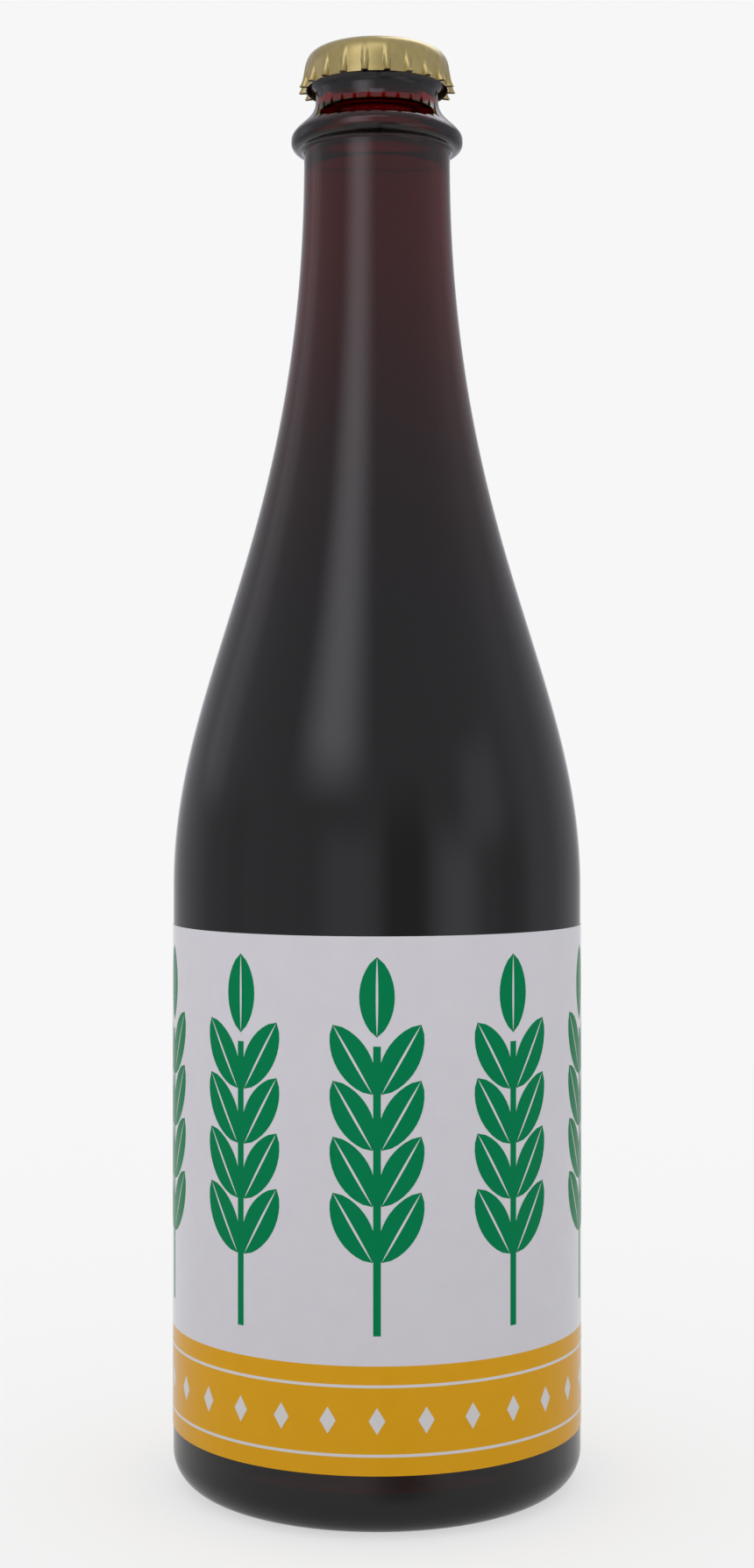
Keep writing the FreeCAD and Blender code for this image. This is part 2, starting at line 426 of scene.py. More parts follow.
def inside_wall(grow):
    """The bottle's inside from the middle of its floor up to the bore, moved out by grow."""
    side_r, neck_r, floor_z = BODY_R - WALL + grow, NECK_R - WALL + grow, BASE_THICKNESS - grow
    heel_r, heel_top = side_r - INSIDE_HEEL_RADIUS, floor_z + INSIDE_HEEL_RADIUS
    bore_r, middle = BORE_R + grow, (NECK_TOP + BORE_LOW) / 2
    points = [(heel_r, floor_z)] + dome(heel_r, floor_z, 24)
    points.reverse()
    points += quarter((heel_r, floor_z), (side_r, floor_z), (side_r, heel_top), 12)
    points += run((side_r, heel_top), (side_r, SIDE_HEIGHT), 8)
    slope = shoulder(side_r, neck_r, NECK_TOP, 70)
    above = next(k for k, point in enumerate(slope) if point[1] > CONTACT)
    points += slope[:above] + [(slope[above][0], CONTACT)] + slope[above:]
    points += curve((neck_r, NECK_TOP), (neck_r, middle), (bore_r, middle), (bore_r, BORE_LOW), 8)
    points += run((bore_r, BORE_LOW), (bore_r, LIP_TOP - LIP_ROUND), 4)
    return points


def outside_wall():
    """The bottle's outside from the middle of its base to the lip's outer edge."""
    bearing_r = BODY_R - HEEL_RADIUS
    ring_low = NECK_TOP + RING_ROUND
    ring_edge = RING_R - RING_ROUND
    bead_middle = (STEM_HIGH + BEAD_LOW) / 2
    points = [(BEARING_INNER_R, 0)] + dome(BEARING_INNER_R, 0, 28)
    points.reverse()
    points += run((BEARING_INNER_R, 0), (bearing_r, 0), 3)
    points += quarter((bearing_r, 0), (BODY_R, 0), (BODY_R, HEEL_RADIUS), 18)
    points += run((BODY_R, HEEL_RADIUS), (BODY_R, SIDE_HEIGHT), 10)
    fillet_low, fillet_r = NECK_TOP - RING_FILLET, NECK_R + RING_FILLET
    points += shoulder(BODY_R, NECK_R, fillet_low, 90)
    points += quarter((NECK_R, fillet_low), (NECK_R, NECK_TOP), (fillet_r, NECK_TOP), 8)
    points += [(ring_edge, NECK_TOP)]
    points += quarter((ring_edge, NECK_TOP), (RING_R, NECK_TOP), (RING_R, ring_low), 10)
    points += run((RING_R, ring_low), (RING_R, RING_HIGH), 2)
    hollow_start = (RING_R, RING_HIGH + HOLLOW_START_PULL)
    hollow_end = (STEM_R, STEM_LOW - HOLLOW_END_PULL)
    points += curve((RING_R, RING_HIGH), hollow_start, hollow_end, (STEM_R, STEM_LOW), 26)
    points += run((STEM_R, STEM_LOW), (STEM_R, STEM_HIGH), 2)
    points += curve((STEM_R, STEM_HIGH), (STEM_R, bead_middle), (BEAD_R, bead_middle), (BEAD_R, BEAD_LOW), 10)
    points += run((BEAD_R, BEAD_LOW), (BEAD_R, BEAD_HIGH), 1)
    points += quarter((BEAD_R, BEAD_HIGH), (BEAD_R, LIP_TOP), (LIP_OUTER_R, LIP_TOP), 10)
    return points


BOTTLE_SEGMENTS = 192
# The inside counts as wet up to here, where mist clings to the neck above the drink.
MIST_TOP = 245.0


def mark_wetted(piece, test):
    """Marks the faces where glass and drink meet, for their shaders to read."""
    marks = [1.0 if test(face) else 0.0 for face in piece.data.polygons]
    piece.data.attributes.new("wetted", "FLOAT", "FACE").data.foreach_set("value", marks)
    return int(sum(marks))


lip_inner_r = BORE_R + LIP_ROUND
outside = outside_wall() + [(lip_inner_r, LIP_TOP)]
outside += quarter((lip_inner_r, LIP_TOP), (BORE_R, LIP_TOP), (BORE_R, LIP_TOP - LIP_ROUND), 6)
inside = inside_wall(0.0)
inside.reverse()
bottle = lathe("bottle_glass", outside + inside[1:], BOTTLE_SEGMENTS)
first_inside_face = (len(outside) - 1) * BOTTLE_SEGMENTS
wet = mark_wetted(bottle, lambda face: face.index >= first_inside_face and face.center.z < MIST_TOP * MM)
print("glass", len(bottle.data.polygons), "faces, of which", wet, "meet the drink; lip at", round(LIP_TOP, 2))

# %% [markdown]
# ## Drink
# The drink is its own closed body, and its surface climbs the glass a little at the edge. It reaches
# a hair into the glass, because two see-through bodies that only touch would leave a film of air
# that mirrors light as a false silver wall. The faces where the two meet are marked on both: there
# the glass bends light by the ratio of the two, and the drink's own wall does nothing, so the pair
# behaves as one wall between glass and liquid.

# %% Drink outline
DRINK_OVERLAP = 0.03
MENISCUS_WIDTH = 1.4
DRINK_SEGMENTS = 144

wall = [p for p in inside_wall(DRINK_OVERLAP) if p[1] <= CONTACT]
edge = wall[-1]
flat_start = (edge[0] - MENISCUS_WIDTH, LEVEL)
surface = curve(edge, (edge[0], LEVEL), (edge[0] - MENISCUS_WIDTH / 3, LEVEL), flat_start, 8)
drink = lathe("dark_drink", wall + surface + [(0, LEVEL)], DRINK_SEGMENTS)
first_top_face = (len(wall) - 1) * DRINK_SEGMENTS
wet = mark_wetted(drink, lambda face: face.index < first_top_face)
print("drink", len(drink.data.polygons), "faces, of which", wet, "meet the glass; level", round(LEVEL, 2))

# %% [markdown]
# ## Label sheet
# The label is one sheet of coated paper wrapped round the straight side, with its ends a few
# millimetres apart at the back. It is built as a thin closed sheet, and the ochre band is a second
# material on the rows below one level, so that its edge stays sharp.

# %% Wrapped sheets
GLUE = 0.02
PAPER = 0.08
INK = 0.02
# The film of a drawing fills this share of the ink's room, so that it clears the paper.
INK_SHARE = 0.9
BAND_TOP = 29.56
SEAM = 8.0
label_low, label_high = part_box("wrap_label")
LABEL_BOTTOM = label_low.z / MM
LABEL_TOP = label_high.z / MM
PAPER_R = BODY_R + GLUE + PAPER
INK_R = PAPER_R + INK
SHEET_STEPS = 240
SHEET_SHARP = 40 * DEGREE


def wrapped_sheet(name, inner_r, outer_r, levels, half_width, steps):
    """A closed sheet bent round the bottle, its middle at the front, with a row for each level."""
    verts, faces, rows = [], [], len(levels)
    for step in range(steps + 1):
        turn = (2 * step / steps - 1) * half_width / outer_r
        for r in (inner_r, outer_r):
            for z in levels:
                verts.append((r * MM * math.sin(turn), -r * MM * math.cos(turn), z * MM))

    def spot(step, side, row):
        return (step * 2 + side) * rows + row

    row_of_face = []
    for step in range(steps):
        for row in range(rows - 1):
            a, b, c, d = ((step, row), (step + 1, row), (step + 1, row + 1), (step, row + 1))
            faces.append([spot(s, 1, k) for s, k in (a, b, c, d)])
            faces.append([spot(s, 0, k) for s, k in (d, c, b, a)])
            row_of_face += [row, row]
        for row, side in ((0, 0), (rows - 1, 1)):
            corners = ((step, side), (step + 1, side), (step + 1, 1 - side), (step, 1 - side))
            faces.append([spot(s, edge, row) for s, edge in corners])
        row_of_face += [0, rows - 2]
    for row in range(rows - 1):
        for step, side in ((0, 0), (steps, 1)):
            corners = ((side, row), (1 - side, row), (1 - side, row + 1), (side, row + 1))
            faces.append([spot(step, edge, k) for edge, k in corners])
        row_of_face += [row, row]
    mesh = bpy.data.meshes.new(name)
    mesh.from_pydata(verts, [], faces)
    mesh.shade_smooth()
    mesh.set_sharp_from_angle(angle=SHEET_SHARP)
    return as_object(name, mesh), row_of_face


half_label = math.pi * PAPER_R - SEAM / 2
label, label_rows = wrapped_sheet(
    "label_paper", BODY_R + GLUE, PAPER_R, [LABEL_BOTTOM, BAND_TOP, LABEL_TOP], half_label, SHEET_STEPS)
label.data.polygons.foreach_set("material_index", [1 if row == 0 else 0 for row in label_rows])
print("label", len(label.data.polygons), "faces, from", round(LABEL_BOTTOM, 2), "to", round(LABEL_TOP, 2))

# %% [markdown]
# ## Printed ears of grain
# The pale field carries a row of barley ears, a common ornament on drinks labels. Geometry Nodes
# draw one grain as a split leaf, set it in pairs up a stem, repeat the ear along a line, and bend
# the line round the label. The sizes are the tree's inputs, so a number redraws the print. The ink
# has a real, very small thickness, which keeps its edges crisp.

# %% Tree for the ears
SOCKET_KINDS = {
    int: "NodeSocketInt", float: "NodeSocketFloat", bpy.types.Material: "NodeSocketMaterial"}


def grow(name, draw, sizes, material):
    """An object whose plain mesh is what a drawing's tree makes with these sizes."""
    tree = bpy.data.node_groups.new(draw.__name__, "GeometryNodeTree")
    inputs = {**sizes, "Material": material}
    keys = {}
    for key, value in inputs.items():
        kind = SOCKET_KINDS[type(value)]
        keys[key] = tree.interface.new_socket(name=key, in_out="INPUT", socket_type=kind).identifier
    tree.interface.new_socket(name="Geometry", in_out="OUTPUT", socket_type="NodeSocketGeometry")
    given = tree.nodes.new("NodeGroupInput").outputs
    real = add(tree, "GeometryNodeRealizeInstances", {0: draw(tree, given)})
    painted = add(tree, "GeometryNodeSetMaterial", {
        "Geometry": real.outputs[0], "Material": given["Material"]})
    add(tree, "NodeGroupOutput", {0: painted.outputs[0]})
    made = as_object(name, bpy.data.meshes.new(name))
    modifier = made.modifiers.new(name, "NODES")
    modifier.node_group = tree
    for key, value in inputs.items():
        modifier[keys[key]] = value
    return plain_mesh(made)


def vector(tree, x=0.0, y=0.0, z=0.0):
    """A vector from three values or outputs."""
    return add(tree, "ShaderNodeCombineXYZ", {0: x, 1: y, 2: z}).outputs[0]


def point_place(tree):
    """The position of each point, in its three parts."""
    return add(tree, "ShaderNodeSeparateXYZ", {0: add(tree, "GeometryNodeInputPosition").outputs[0]})


def bend_round(tree, geometry, radius, lift):
    """Bends a flat drawing, x along the sheet and y up it, round the bottle."""
    flat = point_place(tree)
    turn = calc(tree, "DIVIDE", flat.outputs["X"], radius)
    side = times(tree, calc(tree, "SINE", turn), radius)
    front = times(tree, times(tree, calc(tree, "COSINE", turn), radius), -1.0)
    place = vector(tree, side, front, calc(tree, "ADD", flat.outputs["Y"], lift))
    return add(tree, "GeometryNodeSetPosition", {"Geometry": geometry, "Position": place}).outputs[0]


def row_of(tree, geometry, count, pitch):
    """Copies of a drawing along the sheet, centred on the front."""
    span = times(tree, calc(tree, "SUBTRACT", count, 1.0), pitch)
    start = vector(tree, times(tree, span, -0.5))
    line = add(tree, "GeometryNodeMeshLine", {
        "Count": count, "Start Location": start, "Offset": vector(tree, pitch)})
    copies = add(tree, "GeometryNodeInstanceOnPoints", {"Points": line.outputs[0], "Instance": geometry})
    return add(tree, "GeometryNodeRealizeInstances", {0: copies.outputs[0]}).outputs[0]


# The leaf's grid measures two by two, and its inner rows lie beside the crease.
LEAF_COLUMNS = 13
LEAF_ROWS = 6
LEAF_INNER_ROW = 0.2
LEAF_FULLNESS = 0.75
LEAF_MERGE = 0.01
STEM_ROWS = 6


def grain_leaf(tree, given):
    """One flat grain along +X from the origin, split by a narrow crease."""
    grid = add(tree, "GeometryNodeMeshGrid", {
        "Size X": 2.0, "Size Y": 2.0, "Vertices X": LEAF_COLUMNS, "Vertices Y": LEAF_ROWS})
    spot = point_place(tree)
    off = calc(tree, "ABSOLUTE", spot.outputs["Y"])
    middle = add(tree, "FunctionNodeCompare", {"A": off, "B": LEAF_INNER_ROW / 2}, operation="LESS_THAN")
    halves = add(tree, "GeometryNodeDeleteGeometry", {
        "Geometry": grid.outputs[0], "Selection": middle.outputs[0]}, domain="FACE")
    swell = calc(tree, "SUBTRACT", 1.0, times(tree, spot.outputs["X"], spot.outputs["X"]))
    swell = calc(tree, "POWER", calc(tree, "MAXIMUM", swell, 0.0), LEAF_FULLNESS)
    across = fade(tree, off, LEAF_INNER_ROW, 1.0, given["Crease share"], 1.0, "LINEAR")
    across = times(tree, across, calc(tree, "SIGN", spot.outputs["Y"]))
    half_width = times(tree, given["Grain width"], 0.5)
    y = times(tree, times(tree, across, swell), half_width)
    half_length = times(tree, given["Grain length"], 0.5)
    x = times(tree, calc(tree, "ADD", spot.outputs["X"], 1.0), half_length)
    x = calc(tree, "ADD", x, given["Grain stand"])
    leaf = add(tree, "GeometryNodeSetPosition", {
        "Geometry": halves.outputs[0], "Position": vector(tree, x, y)})
    return add(tree, "GeometryNodeMergeByDistance", {
        "Geometry": leaf.outputs[0], "Distance": LEAF_MERGE * MM}).outputs[0]


def grain_ears(tree, given):
    """Draws the ears and wraps them round the label."""
    leaf = grain_leaf(tree, given)
    up = math.pi / 2
    ladder = add(tree, "GeometryNodeMeshLine", {
        "Count": given["Pairs"], "Start Location": vector(tree, 0.0, given["First pair"]),
        "Offset": vector(tree, 0.0, given["Pair step"])})
    tip_y = calc(tree, "MULTIPLY_ADD", given["Pairs"], given["Pair step"], given["First pair"])
    tip = add(tree, "GeometryNodeMeshLine", {"Count": 1, "Start Location": vector(tree, 0.0, tip_y)})
    drawing = add(tree, "GeometryNodeJoinGeometry")
    for points, lean in ((ladder, 1.0), (ladder, -1.0), (tip, 0.0)):
        angle = calc(tree, "MULTIPLY_ADD", given["Lean"], lean, up)
        turned = add(tree, "FunctionNodeEulerToRotation", {0: vector(tree, 0.0, 0.0, angle)})
        side = add(tree, "GeometryNodeInstanceOnPoints", {
            "Points": points.outputs[0], "Instance": leaf, "Rotation": turned.outputs[0]})
        tree.links.new(side.outputs[0], drawing.inputs[0])
    stem = add(tree, "GeometryNodeMeshGrid", {
        "Size X": given["Stem width"], "Size Y": tip_y, "Vertices X": 2, "Vertices Y": STEM_ROWS})
    lifted = add(tree, "GeometryNodeTransform", {
        "Geometry": stem.outputs[0], "Translation": vector(tree, 0.0, times(tree, tip_y, 0.5))})
    tree.links.new(lifted.outputs[0], drawing.inputs[0])
    flat = add(tree, "GeometryNodeRealizeInstances", {0: drawing.outputs[0]}).outputs[0]
    row = row_of(tree, flat, given["Ears"], given["Pitch"])
    return bend_round(tree, row, given["Roll radius"], given["Foot height"])


def ink_layer(piece):
    """Gives a bent drawing the thickness of its ink, inwards to the paper."""
    solid = piece.modifiers.new("ink", "SOLIDIFY")
    solid.thickness = INK_SHARE * INK * MM
    solid.offset = -1
    return plain_mesh(piece)


EARS = 9
ear_sizes = {
    "Ears": EARS, "Pitch": 2 * half_label / EARS * MM,
    "Pairs": 4, "First pair": 11.0 * MM, "Pair step": 9.4 * MM,
    "Grain length": 13.5 * MM, "Grain width": 6.0 * MM, "Grain stand": 1.5 * MM, "Crease share": 0.07,
    "Lean": math.radians(30), "Stem width": 1.3 * MM, "Roll radius": INK_R * MM, "Foot height": 34.6 * MM}
green_ink = bpy.data.materials.new("green_ink")
ears = ink_layer(grow("label_ears", grain_ears, ear_sizes, green_ink))
print("ears", len(ears.data.polygons), "faces")

# %% [markdown]
# ## Marks on the band
# The ochre band carries a quiet row of pale lozenges between two hairlines. The lozenges come from
# a second, smaller tree, and the hairlines are narrow wrapped sheets.

# %% Lozenges and hairlines
def band_lozenges(tree, given):
    """Draws a row of lozenges round the band."""
    square = add(tree, "GeometryNodeMeshGrid", {
        "Size X": 1.0, "Size Y": 1.0, "Vertices X": LOZENGE_POINTS, "Vertices Y": LOZENGE_POINTS})
    diamond = add(tree, "GeometryNodeTransform", {
        "Geometry": square.outputs[0], "Rotation": (0.0, 0.0, math.pi / 4)})
    scale = vector(tree, given["Width"], given["Height"], 1.0)
    sized = add(tree, "GeometryNodeTransform", {"Geometry": diamond.outputs[0], "Scale": scale})
    row = row_of(tree, sized.outputs[0], given["Count"], given["Pitch"])
    return bend_round(tree, row, given["Roll radius"], given["Centre height"])


LOZENGES = 27
LOZENGE_POINTS = 5
lozenge_sizes = {
    "Count": LOZENGES, "Pitch": 2 * half_label / LOZENGES * MM, "Width": 2.0 * MM, "Height": 3.2 * MM,
    "Roll radius": INK_R * MM, "Centre height": (LABEL_BOTTOM + BAND_TOP) / 2 * MM}
pale_ink = bpy.data.materials.new("pale_ink")
lozenges = ink_layer(grow("band_lozenges", band_lozenges, lozenge_sizes, pale_ink))

HAIRLINE = 0.5
HAIRLINE_INSET = 3.4
line_heights = {
    "band_hairline_low": LABEL_BOTTOM + HAIRLINE_INSET,
    "band_hairline_high": BAND_TOP - HAIRLINE_INSET}
hairlines = []
for name, z in line_heights.items():
    edges = [z - HAIRLINE / 2, z + HAIRLINE / 2]
    line = wrapped_sheet(name, PAPER_R, INK_R, edges, half_label, SHEET_STEPS)[0]
    line.data.materials.append(pale_ink)
    hairlines.append(line)
print("lozenges", len(lozenges.data.polygons), "faces and", len(hairlines), "hairlines")

# %% [markdown]
# ## Crown
# A crown is pressed from thin sheet, and its skirt gathers into narrow outward ribs, the flutes,
# with broad smooth panels between them. One profile curve runs down a panel and one down the crest
# of a flute. Geometry Nodes sample both for every point of a grid, mix them across each flute, and
# turn the result about the axis. Half of the grid's columns are gathered on the flutes, because a
# rib is round and a panel is nearly straight. The mix follows a half ellipse at the rim, which
# leaves a crease on both sides of the rib, and grows softer further up, where the real sheet is not
# yet folded. The skirt ends a little above the solid's rim, where the photograph has it, and
# Solidify gives the sheet its thickness.

# %% Tree for the crown
CROWN_PROFILE_STEPS = 64
CROWN_FOLD_TOP = 4.0
CROWN_FOLD_RIM = 1.0
CROWN_MERGE = 0.002


def crown_profile(tree, given, swell):
    """A profile from panel edge to rim, bulged by swell times the flute's depth."""
    rim = calc(tree, "MULTIPLY_ADD", given["Flute depth at rim"], swell, given["Rim radius"])
    waist = calc(tree, "MULTIPLY_ADD", given["Flute depth at waist"], swell, given["Waist radius"])
    top, foot = given["Top height"], given["Rim height"]
    return add(tree, "GeometryNodeCurvePrimitiveBezierSegment", {
        "Resolution": CROWN_PROFILE_STEPS, "Start": vector(tree, given["Panel radius"], 0.0, top),
        "Start Handle": vector(tree, given["Corner radius"], 0.0, top),
        "End Handle": vector(tree, waist, 0.0, given["Waist height"]),
        "End": vector(tree, rim, 0.0, foot)}).outputs[0]


def flute_columns(tree, given, around, down):
    """For each column its turn about the axis, and how far it stands on a flute, from 0 to 1."""
    pitch = times(tree, around, given["Flutes"])
    off = calc(tree, "SUBTRACT", calc(tree, "FRACT", pitch), 0.5)
    # From 0 to 1 over half a rib, and on to 2 over half a panel.
    far = times(tree, calc(tree, "ABSOLUTE", off), 4.0)
    rib = times(tree, calc(tree, "MINIMUM", far, 1.0), math.pi / 2)
    half_width = given["Flute half width"]
    panel = calc(tree, "MAXIMUM", calc(tree, "SUBTRACT", far, 1.0), 0.0)
    panel = times(tree, panel, calc(tree, "SUBTRACT", 0.5, half_width))
    reach = calc(tree, "MULTIPLY_ADD", calc(tree, "SINE", rib), half_width, panel)
    middle = calc(tree, "ADD", calc(tree, "FLOOR", pitch), 0.5)
    place = calc(tree, "MULTIPLY_ADD", reach, calc(tree, "SIGN", off), middle)
    share = calc(tree, "DIVIDE", place, given["Flutes"])
    angle = calc(tree, "MULTIPLY_ADD", share, 2 * math.pi, given["Start angle"])
    lower = times(tree, down, down)
    fold = calc(tree, "MULTIPLY_ADD", lower, CROWN_FOLD_RIM - CROWN_FOLD_TOP, CROWN_FOLD_TOP)
    swell = calc(tree, "POWER", calc(tree, "MAXIMUM", calc(tree, "COSINE", rib), 0.0), fold)
    return angle, swell


def fluted_crown(tree, given):
    """Presses the crown's outer skin, from the middle of its panel to its rim."""
    columns = times(tree, given["Flutes"], given["Steps a flute"])
    rows = given["Steps down"]
    grid = add(tree, "GeometryNodeMeshGrid", {
        "Size X": 1.0, "Size Y": 1.0, "Vertices X": calc(tree, "ADD", columns, 1.0),
        "Vertices Y": calc(tree, "ADD", rows, 2.0)})
    spot = point_place(tree)
    around = calc(tree, "ADD", spot.outputs["X"], 0.5)
    row = times(tree, calc(tree, "ADD", spot.outputs["Y"], 0.5), calc(tree, "ADD", rows, 1.0))
    down = calc(tree, "DIVIDE", calc(tree, "MAXIMUM", calc(tree, "SUBTRACT", row, 1.0), 0.0), rows)
    angle, swell = flute_columns(tree, given, around, down)
    samples = []
    for bulge in (0.0, 1.0):
        profile = crown_profile(tree, given, bulge)
        sample = add(tree, "GeometryNodeSampleCurve", {"Curves": profile, "Factor": down}, mode="FACTOR")
        samples.append(sample.outputs["Position"])
    first, second, result = MIX_VECTORS
    mixed = add(tree, "ShaderNodeMix", {
        "Factor": swell, first: samples[0], second: samples[1]}, data_type="VECTOR")
    to_panel = vector(tree, calc(tree, "MINIMUM", row, 1.0), 1.0, 1.0)
    shut = add(tree, "ShaderNodeVectorMath", {0: mixed.outputs[result], 1: to_panel}, operation="MULTIPLY")
    turned = add(tree, "ShaderNodeVectorRotate", {
        "Vector": shut.outputs[0], "Angle": angle}, rotation_type="Z_AXIS")
    skin = add(tree, "GeometryNodeSetPosition", {"Geometry": grid.outputs[0], "Position": turned.outputs[0]})
    whole = add(tree, "GeometryNodeMergeByDistance", {
        "Geometry": skin.outputs[0], "Distance": CROWN_MERGE * MM})
    return add(tree, "GeometryNodeSetShadeSmooth", {0: whole.outputs[0]}).outputs[0]


CROWN_SHEET = 0.22
CROWN_PANEL_R = 10.1
CROWN_RIM_R = 13.2
CROWN_WAIST_R = 13.09
CROWN_CORNER_R = 14.39
CROWN_WAIST_RISE = 1.95
CROWN_RIM_LIFT = 0.31
CROWN_TURN = -0.9
CROWN_SHARP = 60 * DEGREE
crown_low, crown_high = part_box("crown_shell")
crown_rim = crown_low.z + CROWN_RIM_LIFT * MM
crown_sizes = {
    "Flutes": 21, "Steps a flute": 32, "Steps down": 34, "Flute half width": 0.17,
    "Panel radius": CROWN_PANEL_R * MM, "Corner radius": CROWN_CORNER_R * MM,
    "Waist radius": CROWN_WAIST_R * MM, "Waist height": crown_rim + CROWN_WAIST_RISE * MM,
    "Rim radius": CROWN_RIM_R * MM,
    "Top height": crown_high.z, "Rim height": crown_rim,
    "Flute depth at waist": -0.2 * MM, "Flute depth at rim": 1.28 * MM,
    "Start angle": math.radians(-90 + CROWN_TURN)}
gold = bpy.data.materials.new("gold_lacquer")
tin = bpy.data.materials.new("tin_inside")
crown = grow("crown_cap", fluted_crown, crown_sizes, gold)
shape = bmesh.new()
shape.from_mesh(crown.data)
bmesh.ops.recalc_face_normals(shape, faces=shape.faces)
shape.to_mesh(crown.data)
shape.free()
crown.data.materials.append(tin)
sheet = crown.modifiers.new("sheet", "SOLIDIFY")
sheet.thickness = CROWN_SHEET * MM
sheet.offset = -1
sheet.use_even_offset = True
sheet.material_offset = 1
plain_mesh(crown)
crown.data.set_sharp_from_angle(angle=CROWN_SHARP)
print("crown", len(crown.data.polygons), "faces")

# %% [markdown]
# ## Liner
# Inside the crown sits a moulded disc of soft compound: a thin web in the middle and a thicker
# sealing ring that presses on the lip. The ring has two fine grooves.

# %% Liner outline
LINER_TOP_R = 10.0
LINER_EDGE_R = 11.25
LINER_WEB_R = 9.1
LINER_WEB = 0.35
# The ring's inner slope beside the web's edge: where it leaves the web, turns down and has its handle.
LINER_LEAVE = 0.5
LINER_TURN = 0.2
LINER_SINK = 0.05
LINER_HANDLE = 0.1
LINER_GROOVES = (0.6, 1.3)
GROOVE_HALF = 0.15
GROOVE_DEPTH = 0.12
LINER_CHAMFER = 0.15
LINER_SEGMENTS = 96
LINER_SHARP = 35 * DEGREE
liner_low, liner_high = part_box("crown_liner")
seal, liner_top = liner_low.z / MM, liner_high.z / MM
web = liner_top - LINER_WEB
turn = (LINER_WEB_R - LINER_TURN, web - LINER_SINK)
flat = (LINER_WEB_R + LINER_TURN, seal)
liner_points = [(0, web), (LINER_WEB_R - LINER_LEAVE, web), turn]
liner_points += quarter(turn, (LINER_WEB_R - LINER_HANDLE, seal), flat, 4)
for offset in LINER_GROOVES:
    middle = LINER_WEB_R + offset
    liner_points += [(middle - GROOVE_HALF, seal), (middle, seal + GROOVE_DEPTH)]
    liner_points += [(middle + GROOVE_HALF, seal)]
liner_points += [(LINER_EDGE_R - LINER_CHAMFER, seal), (LINER_EDGE_R, seal + LINER_CHAMFER)]
liner_points += [(LINER_TOP_R, liner_top), (0, liner_top)]
liner = lathe("crown_seal", liner_points, LINER_SEGMENTS)
liner.data.set_sharp_from_angle(angle=LINER_SHARP)
print("liner", len(liner.data.polygons), "faces")

# %% [markdown]
# ## Finishes
# Each finish is a small node tree on Object coordinates, so the pattern keeps its scale on every
# piece. Numbers that are the same all over are set on the shader's own sockets. The numbers of a
# pattern are its noise scale, detail and roughness.

# %% Shader helpers
def shader(material, **sockets):
    """Clears a material and gives it a Principled shader with these plain socket values."""
    tree = emptied(material)
    values = {key.replace("_", " "): value for key, value in sockets.items()}
    surface = add(tree, "ShaderNodeBsdfPrincipled", values)
    output = add(tree, "ShaderNodeOutputMaterial", {"Surface": surface.outputs[0]})
    place = add(tree, "ShaderNodeTexCoord").outputs["Object"]
    return tree, surface, place, output


def noise(tree, place, scale, detail=2.0, roughness=0.5):
    """A soft random pattern between 0 and 1."""
    made = add(tree, "ShaderNodeTexNoise", {
        "Vector": place, "Scale": scale, "Detail": detail, "Roughness": roughness})
    return made.outputs["Fac"]


def spread(tree, value, low, high, from_low=0.3, from_high=0.7):
    """Maps a pattern to a range of values."""
    return fade(tree, value, from_low, from_high, low, high, "LINEAR")


def two_tones(tree, factor, first, second):
    """A colour between two tones."""
    tones = [tone if isinstance(tone, bpy.types.NodeSocket) else (*tone, 1) for tone in (first, second)]
    low, high, result = MIX_COLOURS
    mixed = add(tree, "ShaderNodeMix", {0: factor, low: tones[0], high: tones[1]}, data_type="RGBA")
    return mixed.outputs[result]


def bump(tree, surface, height, strength, distance):
    """Small relief on the shader's normal."""
    relief = add(tree, "ShaderNodeBump", {"Height": height, "Strength": strength, "Distance": distance})
    tree.links.new(relief.outputs[0], surface.inputs["Normal"])


print("shader helpers ready")

# %% [markdown]
# ### Dark glass
# The colour of bottle glass lives inside it: a volume that swallows green and blue and most of the
# red. Thin places such as the neck then glow red, and thick ones go black. The surface has the faint
# waviness of moulded glass and a trace of handling marks, but not where it meets the drink. Some
# heights are toned: painted shade in the empty neck, painted shade under the ring, a painted dark
# line at the drink's level for the edge of the meniscus, and the deep part of the bottle, where no
# light comes back and a black tone keeps previews clean.

# %% Dark glass and drink
GLASS_IOR = 1.52
GLASS_DENSITY = 740.0
GLASS_TINT = (0.75, 0.03, 0.02)
DRINK_IOR = 1.34
DRINK_DENSITY = 368.0
DRINK_TINT = (0.75, 0.10, 0.05)
NO_BEND_IOR = 1.0005
# Waves have a scale and a height.
GLASS_WAVES = (40.0, 0.2 * MM)
DRINK_WAVES = (120.0, 0.05 * MM)
WAVE_STRENGTH = 0.25
MARKS = (60.0, 4.0, 0.6)
MARK_ROUGHNESS = (0.004, 0.02)
CLOUD_SCALE = 25.0
CLOUD_SHARE = 0.08
# Heights in millimetres; the shade and the deep band rise between two and fall between two.
# Painted shade on the empty neck: the glass's colour darkens from just above the drink. The random cloud
# shares this tone.
NECK_SHADE_FROM = 239.6
NECK_SHADE_FULL = 241.4
CLOUD_AND_NECK_SHADE_TONE = (0.56, 0.52, 0.52)
# The width of a painted dark line at the drink's level, standing in for the dark edge of the meniscus.
LEVEL_SHADE_WIDTH = 0.06
LEDGE_SHADE = (242.2, 242.6, 243.6, 244.1)
LEDGE_TONE = (0.02, 0.015, 0.015)
DEEP_BAND = (0.0, 14.0, 135.0, 225.0)
DEEP_TONE = (0.0, 0.0, 0.0)


def band(tree, height, edges):
    """One between the middle two heights in millimetres, fading to nothing at the outer two."""
    low, full, still, high = (edge * MM for edge in edges)
    rise, fall = spread(tree, height, 0.0, 1.0, low, full), spread(tree, height, 1.0, 0.0, still, high)
    return times(tree, rise, fall)


